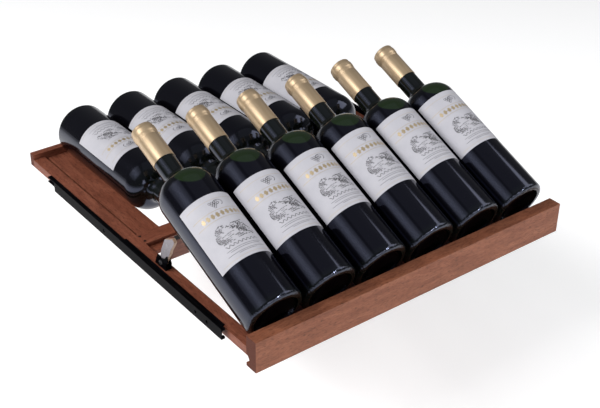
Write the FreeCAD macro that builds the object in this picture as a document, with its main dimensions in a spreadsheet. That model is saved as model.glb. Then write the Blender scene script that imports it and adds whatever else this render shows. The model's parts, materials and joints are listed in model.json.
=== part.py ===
"""Pull-out display shelf of a wine cooler, on two ball-bearing slides, with its eleven bottles.

Millimetres, +Z up, X across the shelf, and -Y is the front of the cabinet. The origin is under the
middle of the shelf, at the height of the front board's lower edge. In the sheet, positions across
are measured in from an end of the front board, and positions along are measured back from its face.
"""
import FreeCAD, Part
import math
import os
import re
import Sketcher
from FreeCAD import Placement, Rotation, Vector

# ---------------------------------------------------------------- driving dimensions
DIMENSIONS = {
    # wooden shelf
    "width": 488, "depth": 565,
    "board_height": 42, "board_thick": 18,
    "groove_floor": 12, "groove_low": 4.7, "groove_slope": 5.2, "groove_high": 9, "groove_top": 17.5,
    "groove_radius": 14,
    "rail_outer": 9, "rail_inner": 31, "ledge_inner": 26,
    "rail_bottom": 2.6, "rail_top": 14.1, "ledge_top": 8.5,
    "back_thick": 10, "back_top": 21.5,
    "cross_front": 276, "cross_back": 300.7, "batten_front": 262, "batten_top": 8,
    "rest_back": 66, "rest_top": 8.1, "stop_back": 36.5, "stop_top": 20,
    "slat_top": 10.8, "bottle_gap": 48,
    # bottles; heights along a bottle are measured from its foot
    "pitch": 78.4, "tilt": 22.4,
    "tilted_along": 28, "tilted_up": 42, "lying_along": 554.3, "lying_up": 40.6,
    "glass_radius": 38, "heel": 5, "punt_radius": 30, "punt_height": 16, "punt_flat": 5, "punt_curve": 50,
    "shoulder_low": 188, "shoulder_curve": 26, "shoulder_mid_radius": 21.03, "shoulder_mid": 212.38,
    "neck_curve": 10, "neck_start": 221.76, "neck_radius": 14.5, "glass_height": 300,
    "foil_low": 245, "foil_radius": 15, "bead_low": 288, "bead_high": 297, "bead_slope": 2,
    "bead_radius": 15.9, "foil_edge": 1.5, "foil_top": 301.6,
    # hinged bar that the tilted bottles lean on; bar_, arm_, pad_ and ear_ sizes start from its pivot
    "pivot_along": 219, "pivot_up": 22, "pin_radius": 2, "running_gap": 0.05,
    "arm_outer": 16, "arm_inner": 20.5, "arm_half": 6, "arm_round": 6.5,
    "bar_front": 8.6, "bar_back": 7.2, "bar_low": 12, "bar_shoulder": 37, "bar_ridge": 3, "bar_top": 51.3,
    "pad_top": 52.8, "bar_screw_low": 21, "bar_screw_high": 33,
    "ear_outer": 14, "ear_thick": 1.5, "second_ear": 21.2, "plate_inner": 22.7, "plate_thick": 1.5,
    "plate_front": 209, "plate_back": 233,
    # ball-bearing slides; heights are measured from slide_up
    "slide_up": 11, "steel": 1.2,
    "cabinet_web": 0.4, "cabinet_lip": 5.6, "cabinet_half": 7.5, "cabinet_front": 68, "cabinet_back": 476,
    "runner_lip": 2.8, "runner_half": 3.8, "runner_front": 77, "runner_back": 500,
    "hook_back": 299, "hook_inner": 11.4,
    "cage_web": 1.9, "cage_lip": 5.4, "cage_half": 5.35, "cage_steel": 0.6, "cage_front": 212, "cage_long": 144,
    "ball_radius": 1.2, "ball_across": 3.9, "ball_offset": 5.05, "ball_pitch": 14, "ball_first": 9,
    "stop_long": 3.4, "stop_low": 4.3,
    "hole_front": 98, "hole_spacing": 240, "spare_hole": 122, "hole_radius": 2.2,
    # fasteners
    "screw_radius": 1.5, "head_radius": 2.6, "head_long": 1.4, "dowel_radius": 2.5,
}
TILTED_BOTTLES = 6
LYING_BOTTLES = 5
BALLS_IN_A_ROW = 10
SLIDE_SCREWS = (110, 260, 410)
PLATE_SCREWS = (213, 229)
SIDES = {"left": -1, "right": 1}

doc = FreeCAD.newDocument("wine_shelf")
sheet = doc.addObject("Spreadsheet::Sheet", "dims")
for row, (alias, value) in enumerate(DIMENSIONS.items(), start=1):
    sheet.set(f"A{row}", alias)
    sheet.set(f"B{row}", str(value))
    sheet.setAlias(f"B{row}", alias)
doc.recompute()
nodes = {}


# ---------------------------------------------------------------- helpers
def full(text):
    """Put the sheet's name in front of each dimension in an expression."""
    def named(word):
        return f"dims.{word[0]}" if word[0] in DIMENSIONS else word[0]

    return re.sub(r"[a-z][a-z_]*", named, str(text))


def number(text):
    return float(sheet.evalExpression(full(text)))


def fresh(kind):
    return doc.addObject(kind, f"Item{len(doc.Objects)}")


def bind(thing, **sizes):
    """Bind properties to the sheet; a double underscore stands for a dot."""
    for name, text in sizes.items():
        thing.setExpression(name.replace("__", "."), full(text))
    return thing


def place(thing, across, along, up):
    return bind(thing, Placement__Base__x=across, Placement__Base__y=along, Placement__Base__z=up)


def node(name, thing):
    """Name a finished object as one piece."""
    thing.Label = name
    nodes[name] = thing


def across(side, inset):
    """X of a place that lies this far in from the left (-1) or right (1) end of the front board."""
    return f"({side})*(width/2-({inset}))"


def along(distance):
    """Y of a place this far behind the front board's face."""
    return f"({distance})-depth/2"


def block(x, y, z):
    """A box from low and high expressions along each axis."""
    box = fresh("Part::Box")
    bind(box, Length=f"({x[1]})-({x[0]})", Width=f"({y[1]})-({y[0]})", Height=f"({z[1]})-({z[0]})")
    return place(box, x[0], y[0], z[0])


def side_block(side, near, far, front, rear, low, high):
    """A box between two insets from one end of the front board."""
    ends = (across(side, near), across(side, far))
    x = ends if side < 0 else ends[::-1]
    return block(x, (along(front), along(rear)), (low, high))


def middle_block(inset, front, rear, low, high):
    """A box across the middle of the shelf, the same inset from both ends."""
    return block((across(-1, inset), across(1, inset)), (along(front), along(rear)), (low, high))


def rod(axis, start, length, radius):
    """A round bar that runs from a point along +X, -X, +Y or -Z."""
    bar = fresh("Part::Cylinder")
    turns = {"+X": (Vector(0, 1, 0), 90), "-X": (Vector(0, 1, 0), -90),
             "+Y": (Vector(1, 0, 0), -90), "-Y": (Vector(1, 0, 0), 90), "-Z": (Vector(1, 0, 0), 180)}
    bar.Placement = Placement(Vector(), Rotation(*turns[axis]))
    bind(bar, Radius=radius, Height=length)
    return place(bar, *start)


def fuse(*shapes):
    joined = fresh("Part::MultiFuse")
    joined.Shapes = list(shapes)
    return joined


def group(shapes):
    """Separate solids in one node."""
    bundle = fresh("Part::Compound")
    bundle.Links = list(shapes)
    return bundle


def cut(base, *tools):
    rest = fresh("Part::Cut")
    rest.Base = base
    rest.Tool = tools[0] if len(tools) == 1 else group(tools)
    return rest


def screw(axis, start, length):
    """A screw with a sunk head that starts flush at a point."""
    return fuse(rod(axis, start, length, "screw_radius"), rod(axis, start, "head_long", "head_radius"))


def outline(body, plane, corners, arcs=None):
    """A closed sketch on one of a body's own planes, with every corner bound to the sheet.

    arcs maps the index of a corner to a radius: the edge from it to the next corner is that arc,
    on the left of the way round when the radius is written with a minus sign.
    """
    arcs = arcs or {}
    sketch = body.newObject("Sketcher::SketchObject", f"Sketch{len(doc.Objects)}")
    origin = next(f for f in body.Origin.OriginFeatures if f.Role == plane)
    sketch.AttachmentSupport = [(origin, "")]
    sketch.MapMode = "FlatFace"
    points = [Vector(number(x), number(y), 0) for x, y in corners]
    for i, (start, end) in enumerate(zip(points, points[1:] + points[:1])):
        if i in arcs:
            radius = number(arcs[i])
            half = start.distanceToPoint(end) / 2
            rise = math.copysign(abs(radius) - math.sqrt(radius ** 2 - half ** 2), radius)
            normal = (end - start).cross(Vector(0, 0, 1)).normalize()
            ends = (start, end) if radius > 0 else (end, start)
            sketch.addGeometry(Part.Arc(ends[0], (start + end) * 0.5 + normal * rise, ends[1]))
        else:
            sketch.addGeometry(Part.LineSegment(start, end))

    starts = [1 if edge.StartPoint.distanceToPoint(point) < 1e-6 else 2
              for edge, point in zip(sketch.Geometry, points)]

    def hold(kind, geometry, text):
        index = sketch.addConstraint(Sketcher.Constraint(kind, *geometry, number(text)))
        sketch.setExpression(f"Constraints[{index}]", full(text))

    for i, corner in enumerate(corners):
        before = (i - 1) % len(corners)
        sketch.addConstraint(Sketcher.Constraint("Coincident", before, 3 - starts[before], i, starts[i]))
        hold("DistanceX", (-1, 1, i, starts[i]), corner[0])
        hold("DistanceY", (-1, 1, i, starts[i]), corner[1])
    for i, radius in arcs.items():
        hold("Radius", (i,), radius.lstrip("-"))
    return sketch


def padded(plane, corners, length, arcs=None, centred=False):
    """A body made by padding one outline."""
    body = fresh("PartDesign::Body")
    pad = body.newObject("PartDesign::Pad", f"Pad{len(doc.Objects)}")
    pad.Profile = outline(body, plane, corners, arcs)
    pad.Midplane = centred
    bind(pad, Length=length)
    return body


def revolved(corners, arcs):
    """A body made by turning half a section about its own Z axis."""
    body = fresh("PartDesign::Body")
    turn = body.newObject("PartDesign::Revolution", f"Turn{len(doc.Objects)}")
    turn.Profile = outline(body, "XZ_Plane", corners, arcs)
    turn.ReferenceAxis = (turn.Profile[0], ["V_Axis"])
    turn.Angle = 360
    return body


def at_pivot(thing, x="0"):
    """Put a piece drawn about the bar's pivot in its place, leaning forward as far as the bottles."""
    thing.Placement = Placement(Vector(), Rotation(Vector(1, 0, 0), number("tilt")))
    bind(thing, Placement__Rotation__Angle="tilt")
    return place(thing, x, along("pivot_along"), "pivot_up")


# ---------------------------------------------------------------- fasteners that several pieces share
def make_dowel(side):
    """Dowel that joins the front board to a side rail."""
    start = (across(side, "(rail_outer+ledge_inner)/2"), along("5"), "ledge_top")
    return rod("+Y", start, "40", "dowel_radius")


def make_back_screw(side):
    """Screw from behind through the back rail into a side rail."""
    start = (across(side, "(rail_outer+ledge_inner)/2"), along("depth"), "ledge_top")
    return screw("-Y", start, "45")


def make_tab_screws(side):
    """Two screws down through the middle crossbar's tab into a rail's ledge."""
    middle = across(side, "(rail_inner+ledge_inner)/2")
    return [fuse(rod("-Z", (middle, along(y), "rail_top"), "10", "screw_radius*0.6"),
                 rod("-Z", (middle, along(y), "rail_top"), "head_long", "head_radius*0.75"))
            for y in ("cross_front+6", "cross_back-6")]


def make_rest_dowel(side):
    """Dowel that joins the front crossbar to a side rail."""
    axis = "+X" if side < 0 else "-X"
    start = (across(side, "rail_inner-9"), along("rest_back-14"), "(rail_bottom+rest_top)/2")
    return rod(axis, start, "24", "2")


def make_slide_screws(side):
    """Screws from a runner's web into the side rail, with pan heads inside the runner."""
    axis = "+X" if side < 0 else "-X"
    return [fuse(rod(axis, (across(side, "rail_outer-steel-1"), along(y), "slide_up"), "14", "screw_radius"),
                 rod(axis, (across(side, "rail_outer-steel-1"), along(y), "slide_up"), "1", "2.4"))
            for y in SLIDE_SCREWS]


def make_plate_screws(side):
    """Screws down through a bracket's foot into the side rail."""
    middle = across(side, "(arm_outer+arm_inner)/2")
    return [screw("-Z", (middle, along(y), "rail_top+plate_thick"), "11") for y in PLATE_SCREWS]


def make_arm_screws(side):
    """Screws through an arm into the end of the bar, square to the arm."""
    axis = "+X" if side < 0 else "-X"
    screws = [screw(axis, (across(side, "arm_outer"), "-0.8", up), "22")
              for up in ("bar_screw_low", "bar_screw_high")]
    return at_pivot(group(screws))


def make_pin(side):
    """Pin riveted through a bracket's two ears, which an arm turns on."""
    axis = "+X" if side < 0 else "-X"
    shank = rod(axis, (across(side, "ear_outer"), along("pivot_along"), "pivot_up"), "plate_inner-ear_outer",
                "pin_radius")
    head = rod(axis, (across(side, "ear_outer-1.2"), along("pivot_along"), "pivot_up"), "1.2", "3.2")
    return fuse(shank, head)


def slat_ends(index):
    """Low and high X of a slat: the slats leave a gap under the middle of each lying bottle."""
    gap = f"(({index})-{(LYING_BOTTLES + 1) / 2})*pitch"
    low = f"{gap}+bottle_gap/2" if index else "rail_inner+0.2-width/2"
    high = f"{gap}+pitch-bottle_gap/2" if index < LYING_BOTTLES else "width/2-rail_inner-0.2"
    return low, high


def make_slat_dowels(index):
    """Dowels that join a slat to the middle crossbar and to the back rail."""
    low, high = slat_ends(index)
    middle = f"(({low})+({high}))/2"
    return [rod("+Y", (middle, along(y), "(rail_bottom+slat_top)/2"), "16", "dowel_radius")
            for y in ("cross_back-8", "depth-back_thick-8")]


# ---------------------------------------------------------------- wooden shelf
def front_board(dowels):
    """Tall front board with a finger groove along the foot of its back."""
    corners = [("0", "0"), ("board_thick", "0"), ("board_thick", "groove_low"),
               ("groove_floor", "groove_slope"), ("groove_floor", "groove_high"), ("board_thick", "groove_top"),
               ("board_thick", "board_height"), ("0", "board_height")]
    board = padded("YZ_Plane", corners, "width", {4: "-groove_radius"}, centred=True)
    bind(board, Placement__Base__y=along("0"))
    node("front_board", cut(board, *dowels))


def side_rail(name, side, fasteners):
    """Rail with a low ledge along its inner edge."""
    bar = side_block(side, "rail_outer", "rail_inner", "board_thick", "depth-back_thick",
                     "rail_bottom", "rail_top")
    step = side_block(side, "ledge_inner", "rail_inner+1", "board_thick-1", "depth", "ledge_top", "rail_top+1")
    node(name, cut(bar, step, *fasteners))


def crossbars(tab_screws, rest_dowels, slat_dowels):
    """The pieces that run across between the side rails."""
    bar = middle_block("rail_inner", "cross_front", "cross_back", "rail_bottom", "rail_top")
    tabs = middle_block("ledge_inner", "cross_front", "cross_back", "ledge_top", "rail_top")
    node("middle_crossbar", cut(fuse(bar, tabs), *tab_screws, *slat_dowels))
    batten = middle_block("rail_inner", "batten_front", "cross_front", "rail_bottom", "batten_top")
    node("middle_batten", batten)
    rest = middle_block("rail_inner", "board_thick", "rest_back", "rail_bottom", "rest_top")
    tongue = middle_block("rail_inner", "groove_floor", "board_thick", "groove_slope", "rest_top")
    node("front_crossbar", cut(fuse(rest, tongue), *rest_dowels))
    node("bottle_stop", middle_block("rail_inner", "board_thick", "stop_back", "rest_top", "stop_top"))


def back_rail(fasteners):
    rail = middle_block("rail_outer", "depth-back_thick", "depth", "rail_bottom", "back_top")
    node("back_rail", cut(rail, *fasteners))


def slat(index, dowels):
    length = (along("cross_back"), along("depth-back_thick"))
    strip = block(slat_ends(index), length, ("rail_bottom", "slat_top"))
    node(f"slat_{index + 1}", cut(strip, *dowels))


# ---------------------------------------------------------------- slides
def channel(side, web, lip, half, thick, front, rear):
    """A C-section along the shelf; web and lip are insets, and the section opens towards the lip."""
    turn = "-1" if side < 0 else "1"
    inner = f"({web})+({thick})*({'1' if number(lip) > number(web) else '-1'})"
    across_at = [f"({turn})*(width/2-({inset}))" for inset in (web, lip, inner)]
    outer, edge, back = across_at
    corners = [(outer, f"-({half})"), (edge, f"-({half})"), (edge, f"({thick})-({half})"),
               (back, f"({thick})-({half})"), (back, f"({half})-({thick})"), (edge, f"({half})-({thick})"),
               (edge, half), (outer, half)]
    body = padded("XZ_Plane", corners, f"({rear})-({front})")
    return place(body, "0", along(rear), "slide_up")


def cabinet_member(name, side):
    """Fixed outer channel with screw holes in its web and two tabs that stop the ball cage."""
    body = channel(side, "cabinet_web", "cabinet_lip", "cabinet_half", "steel", "cabinet_front", "cabinet_back")
    rear = "cabinet_front+stop_long"
    inner = "cabinet_half-steel"
    tabs = [side_block(side, "cabinet_web+steel", "cage_lip", "cabinet_front", rear, "slide_up+stop_low",
                       f"slide_up+{inner}"),
            side_block(side, "cabinet_web+steel", "cage_lip", "cabinet_front", rear, f"slide_up-({inner})",
                       "slide_up-stop_low")]
    axis = "+X" if side < 0 else "-X"
    holes = [rod(axis, (across(side, "cabinet_web-1"), along(y), "slide_up"), "steel+2", "hole_radius")
             for y in ("hole_front", "spare_hole", "hole_front+hole_spacing")]
    node(name, cut(fuse(body, *tabs), *holes))


def runner(name, side, screws):
    """Inner channel screwed to the rail, with a flange that hooks over the rail in its front half."""
    body = channel(side, "rail_outer", "runner_lip", "runner_half", "steel", "runner_front", "runner_back")
    web = side_block(side, "rail_outer-steel", "rail_outer", "runner_front", "hook_back",
                     "slide_up+runner_half-steel", "rail_top+steel")
    flange = side_block(side, "rail_outer-steel", "hook_inner", "runner_front", "hook_back",
                        "rail_top", "rail_top+steel")
    node(name, cut(fuse(body, web, flange), *screws))


def ball_places():
    """Distances behind the front board's face of the balls in one row."""
    return [f"cage_front+ball_first+{i}*ball_pitch" for i in range(BALLS_IN_A_ROW)]


def ball_cage(name, side):
    """Thin folded strip that keeps the balls apart."""
    body = channel(side, "cage_web", "cage_lip", "cage_half", "cage_steel",
                   "cage_front", "cage_front+cage_long")
    holes = [rod("-Z", (across(side, "ball_across"), along(y), "slide_up+cage_half+1"), "2*cage_half+2",
                 "ball_radius+running_gap") for y in ball_places()]
    node(name, cut(body, *holes))


def balls(name, side):
    rows = []
    for up in ("slide_up+ball_offset", "slide_up-ball_offset"):
        for y in ball_places():
            ball = bind(fresh("Part::Sphere"), Radius="ball_radius")
            rows.append(place(ball, across(side, "ball_across"), along(y), up))
    node(name, group(rows))


# ---------------------------------------------------------------- hinged bar
def ear(side, outer, front_horn):
    """A bracket's ear: a plate with a V notch between a rear horn and a front horn."""
    low = "rail_top-pivot_up"
    corners = [("plate_front-pivot_along", low), ("plate_back-pivot_along", low), ("13.2", "-4"),
               ("8.2", "7.4"), ("4.6", "8.2"), ("0.6", "5.4"), *front_horn, ("-11.4", "1")]
    plate = padded("YZ_Plane", corners, "ear_thick", centred=True)
    return place(plate, across(side, f"{outer}+ear_thick/2"), along("pivot_along"), "pivot_up")


def bracket(name, side, screws, pin):
    """Foot on the rail with a notched ear on each side of the arm; the bar swings over the inner one."""
    foot = side_block(side, "ear_outer", "plate_inner", "plate_front", "plate_back", "rail_top",
                      "rail_top+plate_thick")
    outer = ear(side, "ear_outer", [("-7", "8"), ("-13.6", "15.4"), ("-15.6", "8.6")])
    inner = ear(side, "second_ear", [("-4", "7"), ("-8.6", "7")])
    node(name, cut(fuse(foot, outer, inner), *screws, pin))


def bar_arm(name, side, screws):
    """Flat arm at an end of the bar, round at the pivot and with a nose at the top."""
    corners = [("-arm_half", "0"), ("arm_half", "0"), ("7.9", "18"), ("6.6", "37"), ("-6.7", "53.1"),
               ("-11.6", "51.6"), ("-11.2", "45"), ("-8.9", "32"), ("-9.3", "25"), ("-6.7", "9")]
    arm = padded("YZ_Plane", corners, "arm_inner-arm_outer", {0: "arm_round"}, centred=True)
    at_pivot(arm, across(side, "(arm_outer+arm_inner)/2"))
    hole = rod("+X", (across(side, "(arm_outer+arm_inner)/2") + "-10", along("pivot_along"), "pivot_up"), "20",
               "pin_radius+running_gap")
    node(name, cut(arm, hole, screws))


def display_bar(screws):
    """Wooden bar between the arms, with its rear upper corner planed away."""
    corners = [("-bar_front", "bar_low"), ("bar_back", "bar_low"), ("bar_back", "bar_shoulder"),
               ("-bar_ridge", "bar_top"), ("-bar_front", "bar_top")]
    bar = padded("YZ_Plane", corners, "width-2*arm_inner", centred=True)
    node("display_bar", cut(at_pivot(bar), *screws))


def bar_pad():
    """Soft strip along the bar's top, under the tilted bottles."""
    corners = [("-bar_front", "bar_top"), ("-bar_ridge", "bar_top"), ("-bar_ridge", "pad_top"),
               ("-bar_front", "pad_top")]
    node("bar_pad", at_pivot(padded("YZ_Plane", corners, "width-2*arm_inner", centred=True)))


# ---------------------------------------------------------------- bottles
def lean(body, x, tilted):
    """Set a bottle in the front row, foot down and neck up, or lay it behind with its neck forward."""
    angle = "tilt-90" if tilted else "90"
    body.Placement = Placement(Vector(), Rotation(Vector(1, 0, 0), number(angle)))
    start = ("tilted_along", "tilted_up") if tilted else ("lying_along", "lying_up")
    return place(body, x, along(start[0]), start[1])


def bottle(name, x, tilted):
    """Straight-sided bottle with high shoulders, a long neck and a punt, full and corked."""
    corners = [("0", "punt_height"), ("punt_flat", "punt_height"), ("punt_radius", "0"),
               ("glass_radius-heel", "0"), ("glass_radius", "heel"), ("glass_radius", "shoulder_low"),
               ("shoulder_mid_radius", "shoulder_mid"), ("neck_radius", "neck_start"),
               ("neck_radius", "glass_height"), ("0", "glass_height")]
    arcs = {1: "-punt_curve", 3: "heel", 5: "shoulder_curve", 6: "-neck_curve"}
    node(name, lean(revolved(corners, arcs), x, tilted))


def capsule(name, x, tilted):
    """Foil sleeve and cap over the neck, with a bead round the top."""
    corners = [("neck_radius", "foil_low"), ("foil_radius", "foil_low"), ("foil_radius", "bead_low"),
               ("bead_radius", "bead_low+bead_slope"), ("bead_radius", "bead_high-bead_slope"),
               ("foil_radius", "bead_high"), ("foil_radius", "foil_top-foil_edge"),
               ("foil_radius-foil_edge", "foil_top"), ("0", "foil_top"), ("0", "glass_height"),
               ("neck_radius", "glass_height")]
    node(name, lean(revolved(corners, {6: "foil_edge"}), x, tilted))


# ---------------------------------------------------------------- assembly
dowels = {side: make_dowel(side) for side in SIDES.values()}
back_screws = {side: make_back_screw(side) for side in SIDES.values()}
tab_screws = {side: make_tab_screws(side) for side in SIDES.values()}
rest_dowels = {side: make_rest_dowel(side) for side in SIDES.values()}
slide_screws = {side: make_slide_screws(side) for side in SIDES.values()}
plate_screws = {side: make_plate_screws(side) for side in SIDES.values()}
arm_screws = {side: make_arm_screws(side) for side in SIDES.values()}
pins = {side: make_pin(side) for side in SIDES.values()}
slat_dowels = [make_slat_dowels(index) for index in range(LYING_BOTTLES + 1)]


def every(table):
    """All the fasteners of a kind, left and right."""
    return [fastener for found in table.values() for fastener in found]


front_board(dowels.values())
crossbars(every(tab_screws), rest_dowels.values(), [pair[0] for pair in slat_dowels])
back_rail(list(back_screws.values()) + [pair[1] for pair in slat_dowels])
for index, pair in enumerate(slat_dowels):
    slat(index, pair)
for word, side in SIDES.items():
    side_rail(f"side_rail_{word}", side, [dowels[side], back_screws[side], rest_dowels[side], *tab_screws[side],
                                          *slide_screws[side], *plate_screws[side]])
    cabinet_member(f"cabinet_member_{word}", side)
    runner(f"runner_{word}", side, slide_screws[side])
    ball_cage(f"ball_cage_{word}", side)
    balls(f"balls_{word}", side)
    bracket(f"bracket_{word}", side, plate_screws[side], pins[side])
    node(f"pivot_pin_{word}", pins[side])
    bar_arm(f"bar_arm_{word}", side, arm_screws[side])
display_bar(arm_screws.values())
bar_pad()
node("frame_dowels", group([*dowels.values(), *rest_dowels.values()]))
node("frame_screws", group([*back_screws.values(), *every(tab_screws)]))
node("slat_dowels", group([dowel for pair in slat_dowels for dowel in pair]))
node("slide_screws", group(every(slide_screws)))
node("bracket_screws", group(every(plate_screws)))
node("arm_screws", group(arm_screws.values()))
for word, total in (("front", TILTED_BOTTLES), ("back", LYING_BOTTLES)):
    for index in range(total):
        x = f"({index}-{(total - 1) / 2})*pitch"
        bottle(f"bottle_{word}_{index + 1}", x, word == "front")
        capsule(f"capsule_{word}_{index + 1}", x, word == "front")
doc.recompute()

# ---------------------------------------------------------------- checks and files
for thing in doc.Objects:
    if "Invalid" in thing.State or "Error" in thing.State:
        raise RuntimeError(f"{thing.Name} {thing.Label}: {thing.State}")
for name, thing in nodes.items():
    if thing.Shape.isNull() or not thing.Shape.isValid() or not thing.Shape.Solids:
        raise RuntimeError(f"{name} has no valid solid")
os.makedirs("parts", exist_ok=True)
for name, thing in nodes.items():
    thing.Shape.exportStep(f"parts/{name}.step")
    print(f"{name}: {len(thing.Shape.Solids)} solids, {thing.Shape.Volume / 1000:.2f} cm3")
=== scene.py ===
"""Looks for the pull-out wine cooler shelf: stained wood, black slides, and eleven labelled bottles.

Metres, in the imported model's frame: +X right, -Y the front, +Z up. A bottle's own frame has its foot at the
origin and its axis along Z. Print is drawn in millimetres across the label, from its middle, and up from its
lower edge.
"""
import json
import math
import random
import bmesh
import bpy
from mathutils import Matrix, Vector


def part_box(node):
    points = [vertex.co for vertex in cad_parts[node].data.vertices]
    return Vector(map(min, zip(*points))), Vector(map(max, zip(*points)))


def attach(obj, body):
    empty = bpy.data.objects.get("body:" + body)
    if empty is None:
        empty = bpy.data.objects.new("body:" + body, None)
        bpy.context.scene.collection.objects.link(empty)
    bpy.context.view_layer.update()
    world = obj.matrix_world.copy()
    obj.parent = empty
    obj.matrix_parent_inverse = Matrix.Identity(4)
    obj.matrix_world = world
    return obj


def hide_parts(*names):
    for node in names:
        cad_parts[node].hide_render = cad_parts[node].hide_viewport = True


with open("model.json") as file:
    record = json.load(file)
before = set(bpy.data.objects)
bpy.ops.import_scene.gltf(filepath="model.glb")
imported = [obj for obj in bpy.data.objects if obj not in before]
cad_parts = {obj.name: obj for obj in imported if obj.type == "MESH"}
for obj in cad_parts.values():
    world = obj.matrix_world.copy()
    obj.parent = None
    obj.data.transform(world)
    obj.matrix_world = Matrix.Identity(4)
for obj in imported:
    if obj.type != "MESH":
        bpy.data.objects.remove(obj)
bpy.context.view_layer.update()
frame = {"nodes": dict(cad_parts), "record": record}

# ---------------------------------------------------------------- driving values
MM = 0.001

# Bottle
TILT = math.radians(22.4)
RADIUS = 38 * MM
NECK = 14.5 * MM
BORE = 9.2 * MM
HEIGHT = 300 * MM
SHOULDER_LOW = 188 * MM
SHOULDER_CURVE = 26 * MM
NECK_CURVE = 10 * MM
HEEL = 5 * MM
PUNT_RADIUS = 30 * MM
PUNT_HEIGHT = 16 * MM
GLASS_SPLIT = 252 * MM
WINE_LEVEL = 103.2 * MM
AIR_TOP = 215.5 * MM

# Capsule
FOIL_LOW = 245 * MM
FOIL_RADIUS = 15 * MM
FOIL_GROOVE = 282 * MM
FOIL_BEAD = 287.2 * MM
FOIL_TOP = 301.6 * MM

# Label: its size and print in millimetres, and its place and thickness on the bottle
LABEL_TALL = 94
LABEL_HALF = 45
LABEL_COLUMNS = 48
FRONT_LABEL_LOW = 63 * MM
FRONT_LABEL_STEP = 5 * MM
BACK_LABEL_LOW = 62 * MM
LABEL_BACK = 0.02 * MM
LABEL_LIFT = 0.12 * MM
INK_LIFT = 0.17 * MM
HATCH_SEED = 7

# Eased edges and shading angles
EDGE = 0.6 * MM
FRONT_EDGE = 0.9 * MM
ARM_EDGE = 0.7 * MM
PAD_EDGE = 0.4 * MM
STEEL_EDGE = 0.25 * MM
WELD = 0.001 * MM
FLAT_ANGLE = math.radians(0.5)
EASED_ANGLE = math.radians(50)
SMOOTH_SHELF = math.radians(35)
SMOOTH_BOTTLE = math.radians(40)

# Studio and camera
FLOOR_HALF = 15.0
FLOOR_LEVEL = -0.25
AIM = Vector((0, 0, 0.05))
WHITE = (1, 1, 1)
WARM = (1, 0.99, 0.98)
COOL = (0.95, 0.97, 1)
SURROUND = (0.94, 0.95, 1.0)
SURROUND_STRENGTH = 0.12
SENSOR_MM = 36
LENS_MM = 69.25
EYE = Vector((-0.8129, -1.0872, 0.8268))
EYE_YAW = math.radians(-37.92)
EYE_PITCH = math.radians(31.63)
EYE_ROLL = math.radians(0.86)


# ---------------------------------------------------------------- shader helpers
class Shade:
    """A node material built from short calls."""

    def __init__(self, name, colour, rough, metal=0.0, extra=None):
        self.material = bpy.data.materials.new(name)
        self.material.use_nodes = True
        self.tree = self.material.node_tree
        self.surface = self.tree.nodes["Principled BSDF"]
        base = {"Base Color": (*colour, 1), "Roughness": rough, "Metallic": metal}
        self.set(self.surface, {**base, **(extra or {})})

    def set(self, node, values):
        """Link a socket to another node's output, or give it a plain value."""
        for socket, value in values.items():
            if isinstance(value, bpy.types.NodeSocket):
                self.tree.links.new(value, node.inputs[socket])
            else:
                node.inputs[socket].default_value = value

    def add(self, kind, values=None, **properties):
        """A new shader node with its input values and its own settings."""
        node = self.tree.nodes.new(f"ShaderNode{kind}")
        for key, value in properties.items():
            setattr(node, key, value)
        self.set(node, values or {})
        return node

    def place(self, scale=(1, 1, 1)):
        """Object coordinates, stretched."""
        source = self.add("TexCoord").outputs["Object"]
        return self.add("Mapping", {"Vector": source, "Scale": scale}).outputs[0]

    def axes(self):
        """Object coordinates, one by one."""
        return self.add("SeparateXYZ", {"Vector": self.add("TexCoord").outputs["Object"]}).outputs

    def noise(self, vector, scale, detail=4.0, rough=0.55, distortion=0.0):
        """Noise from 0 to 1; scale counts cells in a metre."""
        return self.add("TexNoise", {"Vector": vector, "Scale": scale, "Detail": detail, "Roughness": rough,
                                     "Distortion": distortion}).outputs["Fac"]

    def ramp(self, fac, stops):
        """Colours or greys at places along a ramp."""
        node = self.add("ValToRGB", {"Fac": fac})
        elements = node.color_ramp.elements
        while len(elements) < len(stops):
            elements.new(0.5)
        for element, (place, colour) in zip(elements, stops):
            element.position = place
            element.color = (*colour, 1) if isinstance(colour, tuple) else (colour, colour, colour, 1)
        return node.outputs["Color"]

    def height_ramp(self, stops):
        """A ramp along a bottle's own height, with stops in metres."""
        part = self.math("DIVIDE", self.axes()["Z"], HEIGHT)
        return self.ramp(part, [(place / HEIGHT, colour) for place, colour in stops])

    def mix(self, fac, first, second, blend="MIX"):
        """Two colours, plain or linked, mixed by a factor."""
        fac_input, first_input, second_input, colour_output = 0, 6, 7, 2
        node = self.add("Mix", data_type="RGBA", blend_type=blend)
        self.set(node, {fac_input: fac})
        for index, value in ((first_input, first), (second_input, second)):
            self.set(node, {index: (*value, 1) if isinstance(value, tuple) else value})
        return node.outputs[colour_output]

    def math(self, operation, first, second=0.0):
        """One sum on plain or linked values."""
        return self.add("Math", {0: first, 1: second}, operation=operation).outputs[0]

    def spread(self, value, low, high):
        """Map 0..1 to low..high."""
        return self.add("MapRange", {"Value": value, "To Min": low, "To Max": high}).outputs[0]

    def bump(self, height, distance, strength=1.0, under=None):
        """Fine relief, laid over another bump's normal where one is given."""
        values = {"Height": height, "Distance": distance, "Strength": strength}
        if under is not None:
            values["Normal"] = under
        return self.add("Bump", values).outputs["Normal"]

    def finish(self, **sockets):
        """Join colour, rough and normal to the surface, and give back the material."""
        names = {"colour": "Base Color", "rough": "Roughness", "normal": "Normal"}
        self.set(self.surface, {names[key]: value for key, value in sockets.items()})
        return self.material


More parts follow.
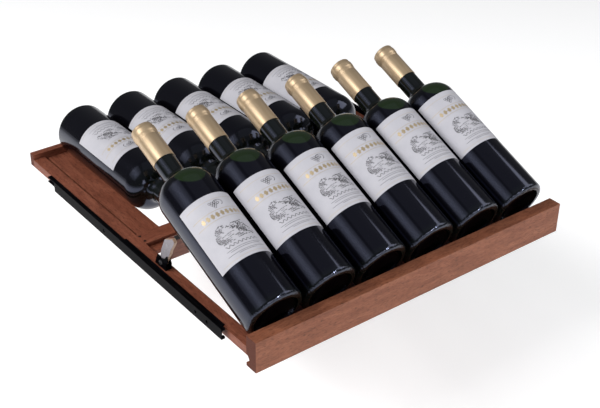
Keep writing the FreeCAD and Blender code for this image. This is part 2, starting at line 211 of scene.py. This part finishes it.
# ---------------------------------------------------------------- materials
def stained_wood(name, grain, dark, middle, light, rough=0.45):
    """Stained close-grained hardwood; grain is the axis that the fibres follow."""
    shade = Shade(name, middle, rough, extra={"Specular IOR Level": 0.2})

    def drawn(stretch):
        """Object coordinates, drawn out along the grain."""
        return shade.place(tuple(stretch if axis == grain else 1.0 for axis in "XYZ"))

    figure = shade.noise(drawn(0.16), scale=130, detail=5, distortion=0.8)
    fibre = shade.noise(drawn(0.06), scale=480, detail=3, rough=0.7)
    flecks = shade.noise(drawn(0.14), scale=1150, detail=3, rough=0.65)
    cloud = shade.noise(shade.place(), scale=11, detail=2)
    colour = shade.ramp(figure, [(0.25, dark), (0.5, middle), (0.78, light)])
    colour = shade.mix(0.3, colour, shade.ramp(fibre, [(0.3, dark), (0.75, light)]))
    colour = shade.mix(0.25, colour, shade.ramp(cloud, [(0.3, 0.6), (0.7, 1.0)]), "MULTIPLY")
    pits = shade.ramp(flecks, [(0.36, 0.2), (0.48, 1.0)])
    colour = shade.mix(0.7, colour, pits, "MULTIPLY")
    normal = shade.bump(pits, 0.06 * MM, 0.6, under=shade.bump(fibre, 0.05 * MM, 0.5))
    return shade.finish(colour=colour, rough=shade.spread(fibre, rough - 0.08, rough + 0.14), normal=normal)


def end_wood(name, dark, light):
    """End grain: growth rings cut across, darker than the long grain."""
    shade = Shade(name, dark, 0.6, extra={"Specular IOR Level": 0.12})
    rings = shade.add("TexWave", {"Vector": shade.place((1.0, 1.0, 0.7)), "Scale": 170.0, "Distortion": 7.0,
                                  "Detail": 3.0, "Detail Scale": 1.4}, bands_direction="Z")
    specks = shade.noise(shade.place(), scale=1500, detail=1)
    colour = shade.ramp(rings.outputs["Fac"], [(0.1, dark), (0.9, light)])
    colour = shade.mix(0.4, colour, shade.ramp(specks, [(0.35, 0.45), (0.55, 1.0)]), "MULTIPLY")
    return shade.finish(colour=colour, normal=shade.bump(specks, 0.06 * MM, 0.6))


def black_steel():
    """Black coated sheet steel with fine grain and light rub marks along its length."""
    shade = Shade("black_steel", (0.003, 0.003, 0.004), 0.38, extra={"Specular IOR Level": 0.02})
    grain = shade.noise(shade.place(), scale=2600, detail=2)
    rub = shade.noise(shade.place((1, 0.05, 1)), scale=300, detail=3)
    colour = shade.ramp(rub, [(0.45, (0.001, 0.001, 0.0015)), (0.8, (0.006, 0.006, 0.008))])
    return shade.finish(colour=colour, rough=shade.spread(rub, 0.3, 0.5),
                        normal=shade.bump(grain, 0.02 * MM, 0.4))


def bare_metal(name, colour, rough):
    """Plain metal, finely brushed along Y."""
    shade = Shade(name, colour, rough, metal=1.0)
    brushed = shade.noise(shade.place((1.0, 0.04, 1.0)), scale=1400, detail=3)
    blotch = shade.noise(shade.place(), scale=160, detail=2)
    tone = shade.ramp(blotch, [(0.3, tuple(0.8 * c for c in colour)), (0.7, colour)])
    return shade.finish(colour=tone, rough=shade.spread(brushed, rough - 0.07, rough + 0.12),
                        normal=shade.bump(brushed, 0.015 * MM, 0.5))


def grey_arm():
    """Grey moulded plastic with a fine spark-eroded grain."""
    shade = Shade("grey_arm", (0.19, 0.175, 0.195), 0.5)
    grain = shade.noise(shade.place(), scale=2200, detail=2)
    cloud = shade.noise(shade.place(), scale=90, detail=3)
    colour = shade.ramp(cloud, [(0.3, (0.165, 0.15, 0.168)), (0.7, (0.225, 0.205, 0.225))])
    return shade.finish(colour=colour, rough=shade.spread(grain, 0.42, 0.6),
                        normal=shade.bump(grain, 0.04 * MM, 0.6))


def arm_edge():
    """Tan on an arm's edges, the faces that don't look along X."""
    shade = Shade("arm_edge", (0.42, 0.28, 0.2), 0.55)
    tan_streaks = shade.noise(shade.place((1.0, 0.2, 0.2)), scale=700, detail=3)
    colour = shade.ramp(tan_streaks, [(0.3, (0.33, 0.21, 0.14)), (0.7, (0.5, 0.35, 0.26))])
    return shade.finish(colour=colour, normal=shade.bump(tan_streaks, 0.05 * MM, 0.5))


def rubber():
    """Black rubber with a dull, slightly dusty face."""
    shade = Shade("rest_rubber", (0.015, 0.014, 0.014), 0.75)
    grain = shade.noise(shade.place(), scale=1800, detail=3)
    colour = shade.ramp(grain, [(0.3, (0.012, 0.011, 0.011)), (0.8, (0.035, 0.033, 0.032))])
    return shade.finish(colour=colour, normal=shade.bump(grain, 0.08 * MM, 0.7))


def air_patch(shade):
    """1 where air lies above the wine in a tilted bottle and below the neck, 0 elsewhere, with soft edges."""
    wine_edge = 1500.0
    neck_edge = 900.0
    place = shade.axes()
    rise = shade.math("SUBTRACT", shade.math("MULTIPLY", place["Z"], math.sin(TILT)),
                      shade.math("MULTIPLY", place["Y"], math.cos(TILT)))
    over = shade.math("MULTIPLY", shade.math("SUBTRACT", rise, WINE_LEVEL), wine_edge)
    under_neck = shade.math("MULTIPLY", shade.math("SUBTRACT", AIR_TOP, place["Z"]), neck_edge)
    return shade.add("Clamp", {"Value": shade.math("MINIMUM", over, under_neck)}).outputs[0]


def bottle_glass(name, tilted):
    """Dark green glass over red wine: nearly black, and green where air lies under the shoulder's top."""
    foot_tint = (0.003, 0.004, 0.003)
    wine_tint = (0.0008, 0.0006, 0.0012)
    neck_tint = (0.003, 0.004, 0.002)
    air_tint = (0.009, 0.018, 0.0045)
    level = (0.5, 0.5, 0.5)
    # The Specular Tint paints a blue cast onto every reflection on the glass: a painted blue reflection,
    # standing in for bluish light.
    shade = Shade(name, (0.001, 0.001, 0.002), 0.13,
                  extra={"IOR": 1.5, "Specular IOR Level": 0.65, "Specular Tint": (0.62, 0.68, 1.0, 1.0)})
    tint = shade.height_ramp([(0.0, foot_tint), (12 * MM, wine_tint), (190 * MM, wine_tint),
                              (215 * MM, neck_tint), (245 * MM, neck_tint)])
    if tilted:
        tint = shade.mix(air_patch(shade), tint, air_tint)
    waves = shade.noise(shade.place((1, 1, 0.35)), scale=26, detail=2)
    knurl = shade.add("TexVoronoi", {"Vector": shade.place(), "Scale": 520.0}).outputs["Distance"]
    foot = shade.height_ramp([(0.0, 1.0), (3.5 * MM, 1.0), (4.5 * MM, 0.0)])
    normal = shade.bump(waves, 0.18 * MM, 0.35)
    normal = shade.bump(shade.mix(foot, level, knurl), 0.4 * MM, 0.5, under=normal)
    return shade.finish(colour=tint, normal=normal)


def paper(name, colour, shadow):
    """Laid, uncoated label paper with faint mottling."""
    shade = Shade(name, colour, 0.68)
    fibre = shade.noise(shade.place(), scale=900, detail=4, rough=0.7)
    cloud = shade.noise(shade.place(), scale=45, detail=3)
    laid = shade.add("TexWave", {"Vector": shade.place(), "Scale": 380.0, "Distortion": 0.4},
                     bands_direction="Z")
    tone = shade.mix(shade.ramp(cloud, [(0.35, 0.0), (0.7, 1.0)]), shadow, colour)
    tone = shade.mix(0.25, tone, shade.ramp(fibre, [(0.3, 0.8), (0.6, 1.0)]), "MULTIPLY")
    normal = shade.bump(laid.outputs["Fac"], 0.02 * MM, 0.4, under=shade.bump(fibre, 0.04 * MM, 0.5))
    return shade.finish(colour=tone, normal=normal)


def ink(name, colour, rough, metal=0.0):
    """Printed ink or hot foil, broken up a little by the paper's fibres."""
    shade = Shade(name, colour, rough, metal)
    fibre = shade.noise(shade.place(), scale=1600, detail=3)
    tone = shade.ramp(fibre, [(0.25, tuple(0.7 * c for c in colour)), (0.6, colour)])
    return shade.finish(colour=tone, rough=shade.spread(fibre, rough, rough + 0.15))


def capsule_foil():
    """Champagne foil, drawn down the neck, with fine vertical creases."""
    shade = Shade("capsule_foil", (0.53, 0.40, 0.26), 0.4, metal=0.7)
    creases = shade.noise(shade.place((1, 1, 0.05)), scale=240, detail=4, rough=0.6)
    colour = shade.ramp(creases, [(0.3, (0.46, 0.335, 0.205)), (0.7, (0.58, 0.44, 0.29))])
    return shade.finish(colour=colour, rough=shade.spread(creases, 0.3, 0.46),
                        normal=shade.bump(creases, 0.04 * MM, 0.5))


def floor_paint():
    """Plain pale studio floor with a faint glow, so that it comes out nearly white."""
    extra = {"Specular IOR Level": 0.1, "Emission Color": (1, 1, 1, 1), "Emission Strength": 0.3}
    return Shade("studio_floor", (0.95, 0.95, 0.95), 0.9, extra=extra).material


# ---------------------------------------------------------------- mesh helpers
def smooth_mesh(name, shape, materials, angle):
    """A mesh from a bmesh, with its materials, shaded smooth below an angle."""
    bmesh.ops.recalc_face_normals(shape, faces=shape.faces)
    mesh = bpy.data.meshes.new(name)
    shape.to_mesh(mesh)
    shape.free()
    for material in materials:
        mesh.materials.append(material)
    mesh.polygons.foreach_set("use_smooth", [True] * len(mesh.polygons))
    mesh.set_sharp_from_angle(angle=angle)
    return mesh


def add_object(name, data):
    """A new object in the scene."""
    obj = bpy.data.objects.new(name, data)
    bpy.context.scene.collection.objects.link(obj)
    return obj


def body_of(node):
    """The name of the CAD body that a node belongs to."""
    bodies = frame["record"]["behaviour"]["bodies"]
    return next(name for name, members in bodies.items() if node in members)


def dressed(node, materials, choose=None, edge=EDGE):
    """Show a node's own shape with eased edges; choose picks each face's material from its normal."""
    shape = bmesh.new()
    shape.from_mesh(frame["nodes"][node].data)
    bmesh.ops.remove_doubles(shape, verts=shape.verts, dist=WELD)
    bmesh.ops.dissolve_limit(shape, angle_limit=FLAT_ANGLE, verts=shape.verts, edges=shape.edges)
    shape.normal_update()
    for face in shape.faces:
        face.material_index = choose(face.normal) if choose else 0
    name = f"{node}_eased"
    obj = add_object(name, smooth_mesh(name, shape, materials, SMOOTH_SHELF))
    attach(obj, body_of(node))
    bevel = obj.modifiers.new("eased_edges", "BEVEL")
    bevel.width = edge
    bevel.segments = 3
    bevel.limit_method = "ANGLE"
    bevel.angle_limit = EASED_ANGLE
    bevel.harden_normals = True
    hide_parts(node)


def long_and_end(grain):
    """Pick the long grain or the end grain by which way a face looks."""
    axis = "XYZ".index(grain)
    return lambda normal: 1 if abs(normal[axis]) > 0.8 else 0


def face_and_edge(normal):
    """Pick an arm's broad face, which looks along X, or its edge."""
    return 0 if abs(normal.x) > 0.5 else 1


def arc(centre, radius, start, end, steps):
    """Points along an arc, as (radius, height) pairs; angles in degrees."""
    turns = [math.radians(start + (end - start) * i / steps) for i in range(steps + 1)]
    return [(centre[0] + radius * math.cos(t), centre[1] + radius * math.sin(t)) for t in turns]


def lathe(profile, sides):
    """A closed surface turned about Z; a profile point on the axis becomes one vertex."""
    on_axis = 1e-7
    turns = [2 * math.pi * i / sides for i in range(sides)]
    shape = bmesh.new()
    rings = []
    for r, z in profile:
        if r < on_axis:
            rings.append([shape.verts.new((0, 0, z))])
            continue
        rings.append([shape.verts.new((r * math.cos(t), r * math.sin(t), z)) for t in turns])
    for low, high in zip(rings, rings[1:]):
        for i in range(sides):
            j = (i + 1) % sides
            corners = [low[i % len(low)], low[j % len(low)], high[j % len(high)], high[i % len(high)]]
            shape.faces.new(list(dict.fromkeys(corners)))
    return shape


# ---------------------------------------------------------------- bottle shapes
def bottle_profile():
    """Punt, foot, straight side, high shoulder, and the neck as far as the split under the foil."""
    reach = SHOULDER_CURVE + NECK_CURVE
    gap = NECK + NECK_CURVE - (RADIUS - SHOULDER_CURVE)
    neck_start = SHOULDER_LOW + math.sqrt(reach ** 2 - gap ** 2)
    turn = math.degrees(math.acos(gap / reach))
    dome_steps = 10
    dome = [math.pi / 2 * i / dome_steps for i in range(dome_steps + 1)]
    profile = [(PUNT_RADIUS * math.sin(a), PUNT_HEIGHT * math.cos(a)) for a in dome]
    profile += arc((RADIUS - HEEL, HEEL), HEEL, -90, 0, steps=10)
    profile += arc((RADIUS - SHOULDER_CURVE, SHOULDER_LOW), SHOULDER_CURVE, 0, turn, steps=16)
    profile += arc((NECK + NECK_CURVE, neck_start), NECK_CURVE, 180 + turn, 180, steps=10)[1:]
    profile += [(NECK, GLASS_SPLIT), (0, GLASS_SPLIT)]
    return profile


def mouth_profile():
    """The upper neck with a rounded lip, the mouth, and the cork's nearly flat top, all under the foil."""
    lip = HEIGHT - 0.1 * MM
    ease = 0.8 * MM
    return [(0, GLASS_SPLIT), (NECK, GLASS_SPLIT), (NECK, HEIGHT - ease), (NECK - ease, lip),
            (BORE + 0.6 * MM, lip), (BORE + 0.1 * MM, HEIGHT - 1.0 * MM), (BORE, HEIGHT - 1.4 * MM),
            (0, HEIGHT - 1.2 * MM)]


def capsule_profile():
    """Rolled skirt, sleeve, one pressed groove, a bead over the lip, and a slightly crowned top.

    Each list steps out from the sleeve's radius and up from the height it starts at, in millimetres.
    """
    skirt = [(0.1, 0), (0.2, 0.6), (0, 1.3), (0, 2.5)]
    groove = [(0, 0), (-0.3, 0.6), (-0.3, 1.2), (0, 1.8)]
    bead = [(0, 0), (0.4, 0.8), (0.8, 2.1), (0.9, 3.8), (0.9, 6.8), (0.8, 8.3), (0.3, 9.4), (0, 10.0)]
    crown = [(0, -1.8), (-0.4, -0.7), (-1.4, -0.1), (-3.0, -0.2), (-7.0, -0.1)]
    profile = [(NECK + 0.1 * MM, FOIL_LOW)]
    for start, steps in ((FOIL_LOW, skirt), (FOIL_GROOVE, groove), (FOIL_BEAD, bead), (FOIL_TOP, crown)):
        profile += [(FOIL_RADIUS + out * MM, start + rise * MM) for out, rise in steps]
    return [*profile, (0, FOIL_TOP)]


# ---------------------------------------------------------------- labels
def on_bottle(x, y, lift):
    """A point on a bottle's side from millimetres across and up the label, centred on the bottle's -Y."""
    turn = x * MM / RADIUS - math.pi / 2
    r = RADIUS + lift
    return Vector((r * math.cos(turn), r * math.sin(turn), y * MM))


def label_sheet():
    """Thin rectangular paper round the side of a bottle, closed on all sides so that it has thickness."""
    shape = bmesh.new()
    section = ((0, LABEL_LIFT), (LABEL_TALL, LABEL_LIFT), (LABEL_TALL, LABEL_BACK), (0, LABEL_BACK))
    across = [LABEL_HALF * (2 * i / LABEL_COLUMNS - 1) for i in range(LABEL_COLUMNS + 1)]
    columns = [[shape.verts.new(on_bottle(x, y, lift)) for y, lift in section] for x in across]
    for left, right in zip(columns, columns[1:]):
        for i in range(len(section)):
            j = (i + 1) % len(section)
            shape.faces.new((left[i], left[j], right[j], right[i]))
    shape.faces.new(columns[0])
    shape.faces.new(columns[-1])
    return shape


def stroke(shape, points, width):
    """A flat printed line through points in label millimetres, bent round the bottle."""
    longest_step = 2
    fine = []
    for (x0, y0), (x1, y1) in zip(points, points[1:]):
        steps = max(1, math.ceil(abs(x1 - x0) / longest_step))
        fine += [(x0 + (x1 - x0) * i / steps, y0 + (y1 - y0) * i / steps) for i in range(steps)]
    fine.append(points[-1])
    sides = []
    for i, (x, y) in enumerate(fine):
        ahead = fine[min(i + 1, len(fine) - 1)]
        behind = fine[max(i - 1, 0)]
        dx, dy = ahead[0] - behind[0], ahead[1] - behind[1]
        size = math.hypot(dx, dy) or 1
        nx, ny = -dy / size * width / 2, dx / size * width / 2
        sides.append((shape.verts.new(on_bottle(x + nx, y + ny, INK_LIFT)),
                      shape.verts.new(on_bottle(x - nx, y - ny, INK_LIFT))))
    for (a, b), (c, d) in zip(sides, sides[1:]):
        shape.faces.new((a, b, d, c))


def rule(shape, y, half, width):
    """A straight level line across the middle of the label."""
    stroke(shape, [(-half, y), (half, y)], width)


def ring(x, y, r):
    """Points round a small circle."""
    steps = 10
    turns = [2 * math.pi * i / steps for i in range(steps + 1)]
    return [(x + r * math.cos(t), y + r * math.sin(t)) for t in turns]


def gold_print():
    """Gold rules near the top and foot, and a row of lozenges of two crossing bars between two more."""
    shape = bmesh.new()
    row = 64.5
    apart = 6.4
    half_tall = 3.2
    half_wide = 2.6
    for y, width in ((70.5, 0.5), (58.5, 0.5), (86, 0.35), (4, 0.35)):
        rule(shape, y, half=38, width=width)
    for index in range(-4, 5):
        x = index * apart
        stroke(shape, [(x, row - half_tall), (x, row + half_tall)], width=3.2)
        stroke(shape, [(x - half_wide, row), (x + half_wide, row)], width=2.0)
    return shape


def hatched_hill(shape):
    """Short strokes in wavy rows, thick and thin in clumps, that fill a rounded hill."""
    foot = 27
    row_step = 1.7
    widest = 26
    chance = random.Random(HATCH_SEED)
    for row in range(14):
        y = foot + row * row_step
        reach = widest - 0.16 * (row - 5) ** 2
        x = -reach
        while x < reach:
            length = chance.uniform(1.0, 3.0)
            rise = 1.6 * math.sin(x / 9 + row * 0.35)
            end = min(x + length, reach)
            clump = math.sin(x / 3.4 + row * 0.5) * math.cos(row / 2.1 + x / 11)
            if chance.random() < 0.62 + 0.5 * clump:
                width = chance.uniform(0.85, 1.35) + 0.5 * clump
                stroke(shape, [(x, y + rise), (end, y + rise + 0.2)], width)
            x = end + chance.uniform(0.3, 1.0)


def grapes(shape):
    """A bunch of ten grapes, one fewer in each row down, with a tendril that curls beside and over it."""
    top = 81.3
    middle = -3
    apart = 3.1
    row_step = 2.3
    radius = 1.35
    for row in range(4):
        for index in range(4 - row):
            x = (index - (3 - row) / 2) * apart + middle
            stroke(shape, ring(x, top - row * row_step, radius), width=0.5)
    curl = [(2 + (7 - t / 4) * math.cos(t / 3), 80 + (4.6 - t / 6) * math.sin(t / 3)) for t in range(-3, 22)]
    stroke(shape, curl, width=0.7)


def grey_print():
    """A hatched hill of vine rows, grapes with a tendril, a wavy flourish, and fine rules."""
    shape = bmesh.new()
    hatched_hill(shape)
    grapes(shape)
    stroke(shape, [(x / 2, 21.2 + 1.5 * math.sin(x * 0.55)) for x in range(-44, 45)], width=0.75)
    for y, half in ((16.4, 24), (14.2, 20), (10.2, 26), (8.4, 12)):
        rule(shape, y, half, width=0.45)
    return shape


def label_low(node):
    """How far up its bottle a label starts: labels climb slightly from left to right in the front row."""
    if "back" in node:
        return BACK_LABEL_LOW
    return FRONT_LABEL_LOW + FRONT_LABEL_STEP * (int(node.rsplit("_", 1)[1]) - 1)


# ---------------------------------------------------------------- bottles on the shelf
def set_down(node, tilted):
    """Where a bottle's own frame stands: foot at the origin, axis along Z, label towards its -Y."""
    low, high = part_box(node)
    middle = (low.x + high.x) / 2
    if tilted:
        foot = Vector((middle, high.y - HEIGHT * math.cos(TILT) - NECK * math.sin(TILT),
                       high.z - HEIGHT * math.sin(TILT) - NECK * math.cos(TILT)))
        return Matrix.Translation(foot) @ Matrix.Rotation(TILT - math.pi / 2, 4, "X")
    foot = Vector((middle, high.y, (low.z + high.z) / 2))
    return Matrix.Translation(foot) @ Matrix.Rotation(math.pi / 2, 4, "X") @ Matrix.Rotation(math.pi, 4, "Z")


def bottle_mesh(name, shape, material):
    """A mesh that many bottles share."""
    return smooth_mesh(name, shape, [material], SMOOTH_BOTTLE)


def dress_bottles():
    """One set of meshes, used by every bottle; only the wine's level differs between the rows."""
    tilted_glass = bottle_glass("glass_tilted", True)
    lying_glass = bottle_glass("glass_lying", False)
    sheet = paper("label_paper", (0.475, 0.468, 0.505), (0.435, 0.43, 0.468))
    gold = ink("gold_ink", (0.5, 0.4, 0.26), 0.38, 0.6)
    grey = ink("grey_ink", (0.06, 0.057, 0.065), 0.6)
    glass = {"front": bottle_mesh("glass_front", lathe(bottle_profile(), sides=96), tilted_glass),
             "back": bottle_mesh("glass_back", lathe(bottle_profile(), sides=96), lying_glass)}
    mouth = bottle_mesh("mouth", lathe(mouth_profile(), sides=48), lying_glass)
    foil = bottle_mesh("foil", lathe(capsule_profile(), sides=64), capsule_foil())
    parts = [("mouth", mouth, "dark_glass", None),
             ("foil", foil, "gold_foil", "capsule"),
             ("label", bottle_mesh("label", label_sheet(), sheet), "label_paper", None),
             ("gold", bottle_mesh("gold", gold_print(), gold), "gold_foil", None),
             ("grey", bottle_mesh("grey", grey_print(), grey), "label_ink", None)]
    for node in sorted(frame["nodes"]):
        if not node.startswith(("bottle_front_", "bottle_back_")):
            continue
        row = "front" if "front" in node else "back"
        place = set_down(node, row == "front")
        for word, mesh, slot, stands_for in [("glass", glass[row], "dark_glass", "bottle"), *parts]:
            obj = add_object(node.replace("bottle", word), mesh)
            lift = label_low(node) if word in ("label", "gold", "grey") else 0
            obj.matrix_world = place @ Matrix.Translation((0, 0, lift))
            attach(obj, f"{node}_body")
            if stands_for:
                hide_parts(node.replace("bottle", stands_for))


# ---------------------------------------------------------------- shelf, slides and bar
def dress_wood():
    """Long grain and end grain on each wooden piece, with the grain along the piece."""
    tones = ((0.12, 0.034, 0.018), (0.215, 0.066, 0.037), (0.31, 0.11, 0.065))
    front_tones = ((0.125, 0.038, 0.019), (0.22, 0.078, 0.041), (0.31, 0.122, 0.068))
    across_grain = stained_wood("wood_across", "X", *tones)
    along_grain = stained_wood("wood_along", "Y", *tones)
    front_grain = stained_wood("wood_front", "X", *front_tones)
    end_dark = end_wood("wood_end", (0.06, 0.017, 0.01), (0.14, 0.042, 0.024))
    end_front = end_wood("wood_front_end", (0.072, 0.019, 0.0105), (0.102, 0.029, 0.016))
    dressed("front_board", (front_grain, end_front), long_and_end("X"), FRONT_EDGE)
    across = ("back_rail", "middle_crossbar", "middle_batten", "front_crossbar", "bottle_stop", "display_bar")
    for node in across:
        dressed(node, (across_grain, end_dark), long_and_end("X"))
    for node in sorted(frame["nodes"]):
        if node.startswith(("side_rail", "slat_")) and node != "slat_dowels":
            dressed(node, (along_grain, end_dark), long_and_end("Y"))


def recolour(node, material):
    """Give a CAD node one detailed material."""
    data = frame["nodes"][node].data
    data.materials.clear()
    data.materials.append(material)


def dress_metal():
    """Slides, balls, pins, screws, dowels, and the display bar's arms and pad."""
    black = black_steel()
    cage = bare_metal("cage_steel", (0.42, 0.42, 0.44), 0.35)
    chrome = bare_metal("ball_chrome", (0.8, 0.8, 0.82), 0.1)
    dark_screw = bare_metal("dark_screw", (0.06, 0.055, 0.055), 0.4)
    grey_screw = bare_metal("grey_screw", (0.3, 0.29, 0.31), 0.4)
    raw = stained_wood("raw_wood", "Y", (0.3, 0.19, 0.1), (0.42, 0.28, 0.16), (0.5, 0.35, 0.22), rough=0.6)
    arm = (grey_arm(), arm_edge())
    for word in ("left", "right"):
        for node in (f"cabinet_member_{word}", f"runner_{word}", f"bracket_{word}"):
            dressed(node, (black,), edge=STEEL_EDGE)
        dressed(f"bar_arm_{word}", arm, face_and_edge, ARM_EDGE)
        recolour(f"ball_cage_{word}", cage)
        recolour(f"balls_{word}", chrome)
        recolour(f"pivot_pin_{word}", grey_screw)
    for node in ("frame_screws", "slide_screws", "bracket_screws"):
        recolour(node, dark_screw)
    recolour("arm_screws", grey_screw)
    for node in ("frame_dowels", "slat_dowels"):
        recolour(node, raw)
    dressed("bar_pad", (rubber(),), edge=PAD_EDGE)


# ---------------------------------------------------------------- studio
def looking(place, target, roll=0.0):
    """A camera or lamp at a place, aimed at a target, turned about its line of sight."""
    turn = (target - place).to_track_quat("-Z", "Y").to_matrix().to_4x4()
    return Matrix.Translation(place) @ turn @ Matrix.Rotation(roll, 4, "Z")


def area_light(name, place, size, power, colour):
    """A rectangular lamp aimed at the middle of the shelf."""
    light = bpy.data.lights.new(name, "AREA")
    light.shape = "RECTANGLE"
    light.size, light.size_y = size
    light.energy = power
    light.color = colour
    add_object(name, light).matrix_world = looking(Vector(place), AIM)


def floor():
    """A wide floor under the hanging shelf."""
    shape = bmesh.new()
    sides = ((-1, -1), (1, -1), (1, 1), (-1, 1))
    shape.faces.new([shape.verts.new((x * FLOOR_HALF, y * FLOOR_HALF, FLOOR_LEVEL)) for x, y in sides])
    data = bpy.data.meshes.new("floor")
    shape.to_mesh(data)
    shape.free()
    data.materials.append(floor_paint())
    add_object("floor", data)


def studio():
    """A dim, slightly blue surround, and lamps on the left, above, in front and on the right.

    The key is three lamps at one place on the left, each narrower and stronger than the last, so that the
    highlight along a bottle fades towards its sides. The spark is a small lamp for bright points.
    """
    world = bpy.data.worlds.new("studio")
    world.use_nodes = True
    world.node_tree.nodes["Background"].inputs["Color"].default_value = (*SURROUND, 1)
    world.node_tree.nodes["Background"].inputs["Strength"].default_value = SURROUND_STRENGTH
    bpy.context.scene.world = world
    for width, power in ((1.9, 5), (1.1, 30), (0.5, 46)):
        area_light("key", (-1.9, 0.5, 1.75), (2.5, width), power, WHITE)
    area_light("top", (0.3, -0.1, 2.6), (2.4, 2.4), 2, WARM)
    area_light("front", (-0.3, -2.4, 0.6), (2.4, 0.7), 16, WARM)
    area_light("fill", (1.7, -1.0, 1.6), (1.6, 1.6), 18, WHITE)
    area_light("spark", (0.6, -2.1, 1.1), (0.14, 0.14), 16, COOL)


def camera():
    """Long lens from the front left, above."""
    data = bpy.data.cameras.new("camera")
    data.sensor_width = SENSOR_MM
    data.lens = LENS_MM
    eye = add_object("camera", data)
    level = math.cos(EYE_PITCH)
    back = Vector((math.sin(EYE_YAW) * level, -math.cos(EYE_YAW) * level, math.sin(EYE_PITCH)))
    eye.matrix_world = looking(EYE, EYE - back, EYE_ROLL)
    bpy.context.scene.camera = eye


# ---------------------------------------------------------------- build
dress_wood()
dress_metal()
dress_bottles()
floor()
studio()
camera()
bpy.context.scene.view_settings.view_transform = "Standard"
